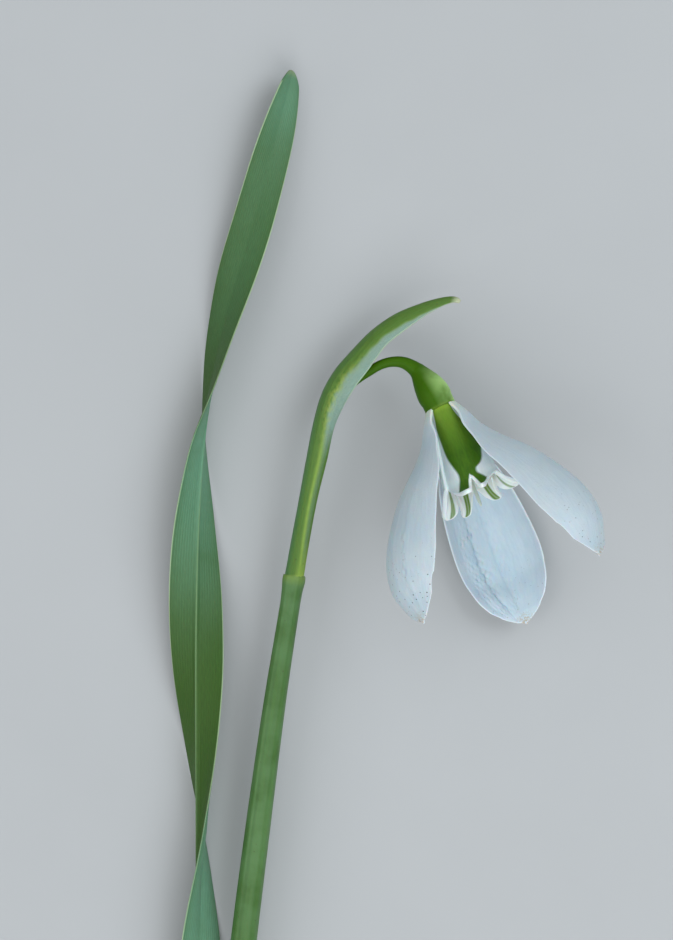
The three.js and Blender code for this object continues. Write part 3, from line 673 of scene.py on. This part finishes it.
def make_leaf():
    """Across, a point goes out along the turned width on a circle as tight as the curl round
    the scape, and each half leans up by the sine of the fold. The margins ripple by the cube
    of the place across. Along, the reach falls off to the corners of the tip as an ellipse."""
    x, z = columns_of(LEAF_LINE)
    half_width, turn, fold, curl, bow = (
        through(pairs)
        for pairs in (LEAF_HALF_WIDTH, LEAF_TURN, LEAF_FOLD, LEAF_CURL, LEAF_BOW))
    bloom_outside, bloom_inside = through(BLOOM_OUTSIDE), through(BLOOM_INSIDE)
    line = line_by_y(x, z)

    def height(u, v):              # y of a point: the tip's line falls off to its corners
        reach = LEAF_TIP_Y - LEAF_TIP_ROUND * (1 - np.sqrt(1 - 0.98 * u ** 2))
        return CUT_Y + (reach - CUT_Y) * v

    def middle(u, v):              # out along the turned width, up by curl, fold, bulge and ripple
        y = height(u, v)
        _, across, over = directions(line, y)
        turned = np.radians(turn(y))[..., None]
        wide = across * np.cos(turned) + over * np.sin(turned)
        inner = across * np.sin(turned) - over * np.cos(turned)
        out = u * half_width(y)
        bend = np.maximum(curl(y), 1e-4)
        lean = np.radians(fold(y))
        soft = np.sqrt(out ** 2 + 0.16) - 0.4      # distance from the rib, rounded at the fold
        ripple = 0.05 * np.abs(u) ** 3 * wave(y / 4 + 3 * np.sign(u), 4)
        bulge = bow(y) * np.sin(np.pi * np.abs(u)) * np.where(u > 0, 1, 0.3)
        rise = (1 - np.cos(out * bend)) / bend + soft * np.sin(lean) + bulge + ripple
        return (line(y) + wide * (np.sin(out * bend) / bend * np.cos(lean))[..., None]
                + inner * rise[..., None])

    def thickness(u, v):           # thinner by the square across; the rib is a hill on the back
        y = height(u, v)
        flesh = LEAF_THICKNESS / 2 * (1 - 0.6 * u ** 2)
        rib = LEAF_RIB * hill(u * half_width(y), 0, 0.2)
        return flesh + rib * ramp(y, 27, 20) * ramp(y, -54, -44), flesh

    def marks(u, v, side):
        y = height(u, v)
        out = u * half_width(y)
        keel = hill(out, 0, 0.07) * np.maximum(side, 0)
        bloom_and_painted_highlight = np.where(side > 0, bloom_outside(y), bloom_inside(y))
        return {
            "place": np.stack([u, y, side], -1),
            "across": u * LEAF_VEIN_SPAN,
            "bloom_and_painted_highlight": np.clip(bloom_and_painted_highlight, 0, 1) * (1 - 0.45 * u ** 4),
            "rib": keel * ramp(y, 22, 14) * ramp(y, -28, -20),
            "edge": (1 - np.abs(u)) * half_width(y),
            "pale_edge": 0.15 + 0.55 * np.abs(np.cos(np.radians(turn(y)))),
            "tip": ramp(y, 60.7, 61.6) * 0.8,
        }

    points, faces, values = blade(middle, thickness, 74, 560, (0.07, 0.0015), marks)
    piece("leaf_blade", "leaf", "leaf", leaf_finish(), points, faces, values)


def make_scape():
    """A round bar whose radius swells at the collar; two sets of cosines of the angle raise
    faint ridges all round."""
    x, z, size = columns_of(SCAPE)
    top = SCAPE[-1][0]

    def radius(y, angle):          # ridged by cosines, rounded at both ends
        ridges = 0.012 * np.cos(11 * angle + 0.03 * y) + 0.008 * np.cos(17 * angle)
        return rounded(y, CUT_Y, top, size(y) * (1 + ridges), SCAPE_RIM)

    def marks(y, angle):
        return {
            "grain": grain(angle, 1.4, y),
            "bloom_and_painted_highlight": np.clip(0.55 + 0.4 * wave(y / 9, 21), 0, 1) + 0 * angle,
            "soil": 0.7 + 0 * y,
            "ring": ramp(y, 6.1, 7.0) * 0.35 + 0 * angle,
            "cut": np.where(y <= CUT_Y + 0.01, 1.0, 0.0) + 0 * angle,
        }

    finish = stem_finish("scape", "315421", "4b7332", "5b8151", 0.3)
    piece("scape_stem", "scape", "stem", finish,
          *rod(line_by_y(x, z), radius, stations_between(CUT_Y, top, 420, SCAPE_RIM), 64, marks))


def make_sheath():
    """An oval sleeve round the scape: the wall's section, up the outside, over a thin lip and
    down the inside, is a closed loop carried round the oval."""
    x, z, _ = columns_of(SCAPE)
    rising = np.append(0, 1 - np.geomspace(1, 0.002, 30)[1:])   # closer and closer to the mouth
    level = np.concatenate([rising, [1.0], rising[::-1]])
    half = SHEATH_WALL / 2 * np.sqrt(1 - ramp(level, SHEATH_LIP, 1) ** 2)
    grow = SHEATH_WALL / 2 + half * np.where(np.arange(level.size) <= rising.size, 1, -1)
    angle = np.linspace(0, 2 * np.pi, 121)[:-1]
    level, around = np.meshgrid(level, angle, indexing="ij")
    grow = grow[:, None]
    top = SHEATH_TOP_Y + SHEATH_SLANT * np.sin(around) + 0.18 * wave(3 * np.cos(around), 8)
    y = BASE_Y + (top - BASE_Y) * level
    ridge = 0.03 * np.cos(23 * around)
    points = np.stack([
        x(y) + (SHEATH_INSIDE[0] + grow + ridge) * np.cos(around),
        y,
        z(y) - SHEATH_DROP + (SHEATH_INSIDE[1] + grow + ridge) * np.sin(around),
    ], -1)
    index = np.arange(level.size).reshape(level.shape)
    index = np.concatenate([index, index[:, :1]], 1)
    index = np.concatenate([index, index[:1]], 0)
    values = {
        "grain": grain(around, 3, y).reshape(-1, 3),
        "rim": ramp(level, 0.85, 1).ravel(),
    }
    piece("basal_sheath_sleeve", "basal_sheath", "sheath", sheath_finish(),
          points.reshape(-1, 3), grid_faces(index).tolist(), values)


# ---- Spathe, pedicel and ovary ----------------------------------------------------------

def make_spathe():
    """At each height an oval arc starts at the keel and wraps both ways towards the open
    side: towards the mouth by (1 - cos) of the angle, and up or down by its sine. The margins
    ripple by the square of the place across, and fine ribs run down the back."""
    keel, keel_length = line_through(SPATHE_KEEL)
    mouth, mouth_length = line_through(SPATHE_MOUTH)
    wrap, half_depth, green = (
        through(pairs) for pairs in (SPATHE_WRAP, SPATHE_HALF_DEPTH, SPATHE_GREEN))

    def share_of(u, v):            # share of the way from the keel to the open side
        angle = np.radians(wrap(v))
        return (1 - np.cos(angle * u)) / (1 - np.cos(angle))

    def middle(u, v):              # towards the open side, and up by the sine of the wrap
        start = keel(v * keel_length)
        to_mouth = mouth(v * mouth_length) - start
        inset = SPATHE_THICKNESS / 2
        depth = np.linalg.norm(to_mouth, axis=-1)
        ripple = 0.05 * np.abs(u) ** 2 * wave(v * 14 + np.sign(u), 31)
        across = inset + (depth - 2 * inset) * share_of(u, v)
        up = (half_depth(v) - inset) * np.sin(np.radians(wrap(v)) * u) + ripple
        return start + unit(to_mouth) * across[..., None] + UP * up[..., None]

    def thickness(u, v):           # thinner towards the open side, with cosine ribs
        flesh = SPATHE_THICKNESS / 2 * (1 - 0.45 * share_of(u, v))
        ribs = 0.02 * np.cos(u * 34) * np.clip(1 - 2.2 * np.abs(v - 0.5), 0, 1)
        return flesh + ribs, flesh

    def marks(u, v, side):
        share = share_of(u, v)
        high = ramp(v, 0.36, 0.46)
        limit = green(v) + 0.03 * wave(v * 70 + 2 * np.sign(u), 17) * high
        far_keel = ramp(share, 0.86, 0.91) * (1 - high)
        beyond = ramp(share - limit, -0.05, 0.08) * (1 - far_keel)
        seam = hill(share, limit, 0.09) * (1 - 0.75 * high) * 0.65
        low = ramp(share, 0.45, 0.7) * ramp(v, 0.13, 0) * 0.8
        return {
            "place": np.stack([u * SPATHE_HALF_WIDTH, v * keel_length, side], -1),
            "membrane": beyond * (high + (1 - high) * 0.25 * ramp(v, 0, 0.1)),
            "lime": np.maximum(seam, low),
            "hatch": hill(v, 0.53, 0.12) * hill(share, limit, 0.16),
            "cool": ramp(share, 0.3, 0) * ramp(v, 0.875, 0.25),
            "edge": (1 - np.abs(u)) * SPATHE_HALF_WIDTH,
            "tip": ramp(v, 0.972, 0.992),
            "foot": ramp(v, 0.02, 0.005) * 0.7,
        }

    points, faces, values = blade(middle, thickness, 96, 260, (0.06, 0.004), marks)
    piece("spathe_bract", "spathe", "spathe", spathe_finish(), points, faces, values)


def make_stalk_parts():
    """The pedicel and the ovary: round bars along one line, the second swelling out of the
    first to a shoulder above its flat end."""
    line, length = line_through(STALK)
    pedicel_size, ovary_size = through(PEDICEL_RADIUS), through(OVARY_RADIUS)
    start, join, end = 0.05, OVARY_START + 0.25, length - 0.03

    def pedicel_radius(s, angle):  # very faintly five-sided
        size = pedicel_size(s) * (1 + 0.02 * np.cos(5 * angle))
        return rounded(s, start, join, size, PEDICEL_RIM)

    def ovary_radius(s, angle):    # very faintly three-lobed
        lobes = 1 + 0.012 * np.cos(3 * angle + 0.6) * ramp(s, OVARY_START, OVARY_START + 2)
        return rounded(s, OVARY_START, end, ovary_size(s - OVARY_START) * lobes, OVARY_RIM)

    def marks(s, angle):
        return {
            "grain": grain(angle, 1, s),
            # on the ovary this is a painted highlight: a pale band down the side that catches the
            # light
            "bloom_and_painted_highlight": (ramp(s, OVARY_START, OVARY_START + 2.5)
                      * np.clip(0.12 - 0.75 * np.cos(angle), 0, 1)),
            "soil": 0 * s,
            "ring": ramp(s, end - 0.35, end - 0.05) * 0.2 + 0 * angle,
            "cut": 0 * s,
        }

    pedicel_stations = stations_between(start, join, 240, PEDICEL_RIM)
    ovary_stations = stations_between(OVARY_START, end, 70, OVARY_RIM)
    piece("pedicel_stalk", "pedicel", "pedicel",
          stem_finish("pedicel", "2f5404", "40690a", "4d7420", 0.1),
          *rod(line, pedicel_radius, pedicel_stations, 40, marks))
    # the ovary's pale third colour is a painted highlight down its lit side
    piece("ovary_capsule", "ovary", "ovary",
          stem_finish("ovary", "2c5000", "3e6802", "b4dc88", 0.1),
          *rod(line, ovary_radius, ovary_stations, 72, marks))


# ---- Flower -----------------------------------------------------------------------------

AXIS = np.array([
    math.cos(FLOWER_LIFT) * math.sin(FLOWER_SLANT),
    -math.cos(FLOWER_LIFT) * math.cos(FLOWER_SLANT),
    math.sin(FLOWER_LIFT),
])
BACK = unit(AXIS * AXIS[2] - UP)   # the side that hangs nearest the table
SIDE = np.cross(AXIS, BACK)


def flower_point(along, out, around):
    """The middle of the ovary's end, plus `along` the axis and `out` from it in the direction
    that stands `around` radians round from the underside, by its cosine and sine."""
    return (FLOWER_CENTRE + np.multiply.outer(along, AXIS)
            + np.multiply.outer(out * np.cos(around), BACK)
            + np.multiply.outer(out * np.sin(around), SIDE))


def make_outer_petal(finish, name, azimuth, opening, reach, ribs, soil, seed):
    """The ridge line runs out and back like a spoon's; the section is an arc that cups towards
    the axis, square to the ridge. Lengthwise ribs, as the size of a sine across with creases
    between them, and a crinkle stand on its middle, and the margin ripples by the fourth
    power of the place across."""
    half_width, ridge = through(OUTER_HALF_WIDTH), through(OUTER_RIDGE)
    around = math.radians(azimuth)
    outward = math.cos(around) * BACK + math.sin(around) * SIDE
    sideways = -math.sin(around) * BACK + math.cos(around) * SIDE

    def share_of(u, v):            # the end's corners draw back and its middle comes to a point
        point = 0.018 * np.exp(-np.abs(u - 0.06) / 0.15)
        return v * (1 - OUTER_TIP_ROUND * np.abs(u) ** 3.2 + point)

    def out_at(along):             # the ridge line's distance from the axis, opened
        return OUTER_RING + (ridge(along) - OUTER_RING) * opening

    def body_at(share):            # 1 in the petal's body, falling off to its foot and tip
        return ramp(share, 0.25, 0.55) * ramp(share, 1.02, 0.87)

    def fold_at(u, share):         # 0 in each crease and 1 on each rib
        return np.abs(np.sin((u + 0.05 + 0.04 * wave(share * 6, seed)) * np.pi / 0.35))

    def creased_at(u, share):      # how deep the creases are: most left of the middle
        return (0.12 + hill(u, -0.38, 0.36)) * body_at(share) * (1 - u ** 6)

    def middle(u, v):              # along and out on the ridge line, then round the cup
        share = share_of(u, v)
        along = share * reach
        splay = np.arctan2(out_at(along + 0.05) - out_at(along - 0.05), 0.1)
        cup = u * half_width(share) * OUTER_CUPPING
        crinkle = wave(u * 30, seed + 3) * wave(share * 70 + 4 * u, seed + 4)
        folds = ribs * (fold_at(u, share) + 0.55 * crinkle) * creased_at(u, share)
        ripple = 0.035 * np.abs(u) ** 4 * wave(share * 7 + np.sign(u), seed + 1)
        rise = (1 - np.cos(cup)) / OUTER_CUPPING + folds + ripple * body_at(share)
        return (flower_point(along - FOOT_SINK + rise * np.sin(splay), 0 * u, 0.0)
                + (out_at(along) - rise * np.cos(splay))[..., None] * outward
                + (np.sin(cup) / OUTER_CUPPING)[..., None] * sideways)

    def thickness(u, v):           # thinner by the square across, and towards the end
        flesh = OUTER_THICKNESS / 2 * (1 - 0.35 * u ** 2) * (1.25 - 0.4 * v)
        return flesh, flesh

    def marks(u, v, side):
        share = share_of(u, v)
        width = half_width(share)
        return {
            "place": np.stack([u, share * reach, side], -1),
            # 1 on the outer face, which the finish paints darker as painted shade
            "outer": np.maximum(side, 0),
            "edge": np.minimum((1 - np.abs(u)) * width, (1 - v) * reach),
            "tip": ramp(share, 0.95, 0.995) * hill(u, 0.05, 0.4),
            "soil": ramp(share, 0.55, 0.95) * soil,
            # where the creases lie, for their painted shade
            "painted_crease_shade": hill(fold_at(u, share), 0, 0.32) * creased_at(u, share) * min(ribs * 5, 1),
            "foot": ramp(share, 0.09, 0) * 0.8,
        }

    points, faces, values = blade(middle, thickness, 110, 210, (0.05, 0.008), marks)
    piece(f"outer_petal_{name}", f"outer_tepal_{name}", "outer_petal", finish,
          points, faces, values)


def make_inner_petal(finish, name, azimuth, stretch, flare, end, lobes, turned):
    """A piece of a cup that flares at its end, where a smooth line through `end` cuts two
    lobes, each given as (its middle across, half the width of its green stripe). The lobe
    on the `turned` side leans: its far edge out and its near edge in. Both curl in by the
    square of the distance from the lobe's middle. One side edge stands outside its
    neighbour and the other inside; the lips round the end are thick."""
    line, length = line_through(INNER_LINE)
    half_angle = through(INNER_HALF_ANGLE)
    mark_left, mark_right, gap = through(MARK_LEFT), through(MARK_RIGHT), through(MARK_GAP)
    end_share = through(end)
    (near, near_stripe), (far, far_stripe) = lobes
    between = (near + far) / 2

    def reach(u):                  # how far along the cup's line the petal goes
        return length * end_share(u)

    def off_lobe(u):               # how far across from the middle of its lobe
        return np.where(u > between, u - far, near - u)

    def out_at(s):                 # the cup's distance from the axis, flared past 3 mm
        out = line(s)[..., 1]
        return out + np.maximum(out - 3, 0) * (flare - 1)

    def edge_distance(u, s):       # to the nearest of the side edges and 201 places on the end
        arc = np.radians(half_angle(s)) * out_at(s)
        places = np.linspace(-1, 1, 201)
        gaps = np.hypot((u[..., None] - places) * arc[..., None], reach(places) - s[..., None])
        return np.minimum((1 - np.abs(u)) * arc, gaps.min(-1))

    def middle(u, v):              # round the cup by the angle, out by the flare and flap
        s = v * reach(u)
        off = np.clip(off_lobe(u) / INNER_LOBE_HALF, -1.2, 1.2)
        flap = INNER_FLAP * off * np.clip(3 * turned * (u - between), 0, 1) - 0.12 * off ** 2
        out = out_at(s) + flap * ramp(s, 8.4, 10.2) - u * INNER_OVERLAP * ramp(s, 1, 4)
        turn = math.radians(azimuth) + u * np.radians(half_angle(s))
        return flower_point(line(s)[..., 0] * stretch - FOOT_SINK, out, turn)

    def thickness(u, v):           # the lips are a hill beside the edge
        s = v * reach(u)
        bead = INNER_BEAD * hill(edge_distance(u, s), 0.14, 0.2)
        flesh = INNER_THICKNESS / 2 * (1 + bead * ramp(s, 3, 7))
        return flesh, flesh

    def marks(u, v, side):
        s = v * reach(u)
        degrees = -u * half_angle(s)
        edge = edge_distance(u, s)
        outside = (ramp(mark_right(s) - degrees, -2.5, 2.5)
                   * ramp(mark_left(s) + degrees, -2.5, 2.5)
                   * ramp(np.abs(degrees - 1) - gap(s), -1, 1))
        off = np.abs(off_lobe(u))
        stripe = np.where(u > between, far_stripe, near_stripe)
        inside = ramp(stripe - off, 0, 0.05) * (1 - 0.25 * hill(off, 0, 0.03)) * ramp(s, 3, 5)
        return {
            "place": np.stack([u, s, side], -1),
            "mark": np.where(side >= 0, outside, inside) * ramp(edge, 0.2, 0.28),
            "inside": np.maximum(-side, 0),
            "lip": ramp(edge, 0.24, 0.14) * ramp(s, 6, 8),
            "foot": np.maximum(ramp(s, 1.3, 0), 0.4 * ramp(s, 6, 1)),
        }

    points, faces, values = blade(middle, thickness, 170, 130, (0.035, 0.016), marks)
    piece(f"inner_petal_{name}", f"inner_tepal_{name}", "inner_petal", finish,
          points, faces, values)


def make_stamens():
    """Six bars round the axis: a thin filament that swells into a pointed anther, which a
    power of a cosine of the angle grooves lengthwise; together they are one mesh."""
    anther = through(ANTHER_RADIUS)
    end = FILAMENT_END + ANTHER_LENGTH
    stations = np.append(np.linspace(STAMEN_START, FILAMENT_END - 0.05, 8),
                         np.linspace(FILAMENT_END, end, 40))
    all_points, all_faces, all_values, count = [], [], [], 0
    for k in range(6):
        around = math.radians(60 * k + 30)

        def line(s):               # beside the axis, then leaning out
            out = STAMEN_CIRCLE + math.tan(STAMEN_LEAN) * np.maximum(s - 2, 0)
            return flower_point(s, out, around)

        def radius(s, angle):      # the filament's, then the anther's with its grooves
            groove = 1 - 0.14 * np.cos(4 * angle) ** 6
            swollen = anther((s - FILAMENT_END) / ANTHER_LENGTH) * groove
            return np.where(s < FILAMENT_END, FILAMENT_RADIUS, swollen)

        def marks(s, angle):
            return {"anther": ramp(s, FILAMENT_END, FILAMENT_END + 0.15) + 0 * angle}

        points, faces, values = rod(line, radius, stations, 32, marks)
        all_points.append(points)
        all_faces += [[count + corner for corner in face] for face in faces]
        all_values.append(values["anther"])
        count += len(points)
    piece("stamen_ring", "stamens", "stamen", stamen_finish(), np.concatenate(all_points),
          all_faces, {"anther": np.concatenate(all_values)})


def make_style():
    """A thin bar on the axis, a little swollen before its blunt tip."""
    size = through(STYLE_RADIUS)

    def line(s):                   # the axis itself
        return flower_point(s, 0 * s, 0.0)

    def radius(s, angle):
        return rounded(s, STYLE_START, STYLE_LENGTH, size(s / STYLE_LENGTH) + 0 * angle, 0.1)

    def marks(s, angle):
        return {"tip": np.clip(s / STYLE_LENGTH - 0.2, 0, 1) + 0 * angle}

    stations = STYLE_START + (STYLE_LENGTH - STYLE_START) * edge_packed(60, 0.1 / STYLE_LENGTH)
    piece("style_column", "style", "style", style_finish(),
          *rod(line, radius, stations, 24, marks))


# ---- Table, light and camera ------------------------------------------------------------

def make_table():
    """A wide pale board under the flower, very slightly mottled."""
    mesh = bpy.data.meshes.new("table_top")
    half = TABLE_HALF_WIDTH
    corners = [(-half, -half, 0), (half, -half, 0), (half, half, 0), (-half, half, 0)]
    mesh.from_pydata(corners, [], [(0, 1, 2, 3)])
    f = Finish("table_top", Roughness=0.75)
    f.put(f.shader.inputs["Base Color"], f.mix(f.noise(f.here(), 40.0), "a8aaab", "aeb0b1"))
    mesh.materials.append(f.material)
    board = bpy.data.objects.new("table_top", mesh)
    bpy.context.scene.collection.objects.link(board)


def add_light(name, place, size, power, tint):
    """A square soft light that faces the flower."""
    light = bpy.data.lights.new(name, "AREA")
    light.size = size
    light.energy = power
    light.color = tint
    lamp = bpy.data.objects.new(name, light)
    lamp.location = [value * MM for value in place]
    aim = np.array([VIEW_CENTRE[0], VIEW_CENTRE[1], 0]) - np.array(place)
    lamp.rotation_euler = Vector(aim).to_track_quat("-Z", "Y").to_euler()
    bpy.context.scene.collection.objects.link(lamp)


def make_lights():
    """Soft lights from the upper right, from the left and from the cut end's side, and an even
    pale sky."""
    for lamp in LAMPS:
        add_light(*lamp)
    world = bpy.data.worlds.new("studio")
    world.use_nodes = True
    sky = world.node_tree.nodes["Background"].inputs
    sky["Color"].default_value = (*SKY_TINT, 1)
    sky["Strength"].default_value = SKY_STRENGTH
    bpy.context.scene.world = world


def make_camera():
    """Straight above; the lens follows from the height and the size of an image point."""
    camera = bpy.data.cameras.new("camera")
    camera.sensor_width = SENSOR
    camera.lens = SENSOR * CAMERA_ABOVE_FLOWER / (max(IMAGE_SIZE) * POINT)
    eye = bpy.data.objects.new("camera", camera)
    eye.location = [VIEW_CENTRE[0] * MM, VIEW_CENTRE[1] * MM,
                    (FLOWER_HEIGHT + CAMERA_ABOVE_FLOWER) * MM]
    bpy.context.scene.collection.objects.link(eye)
    bpy.context.scene.camera = eye


make_leaf()
make_scape()
make_sheath()
make_spathe()
make_stalk_parts()
outer_finish, inner_finish = petal_finish(), inner_petal_finish()
for petal in OUTER_PETALS:
    make_outer_petal(outer_finish, *petal)
for petal in INNER_PETALS:
    make_inner_petal(inner_finish, *petal)
make_stamens()
make_style()
make_table()
make_lights()
make_camera()
bpy.context.scene.view_settings.view_transform = "Standard"
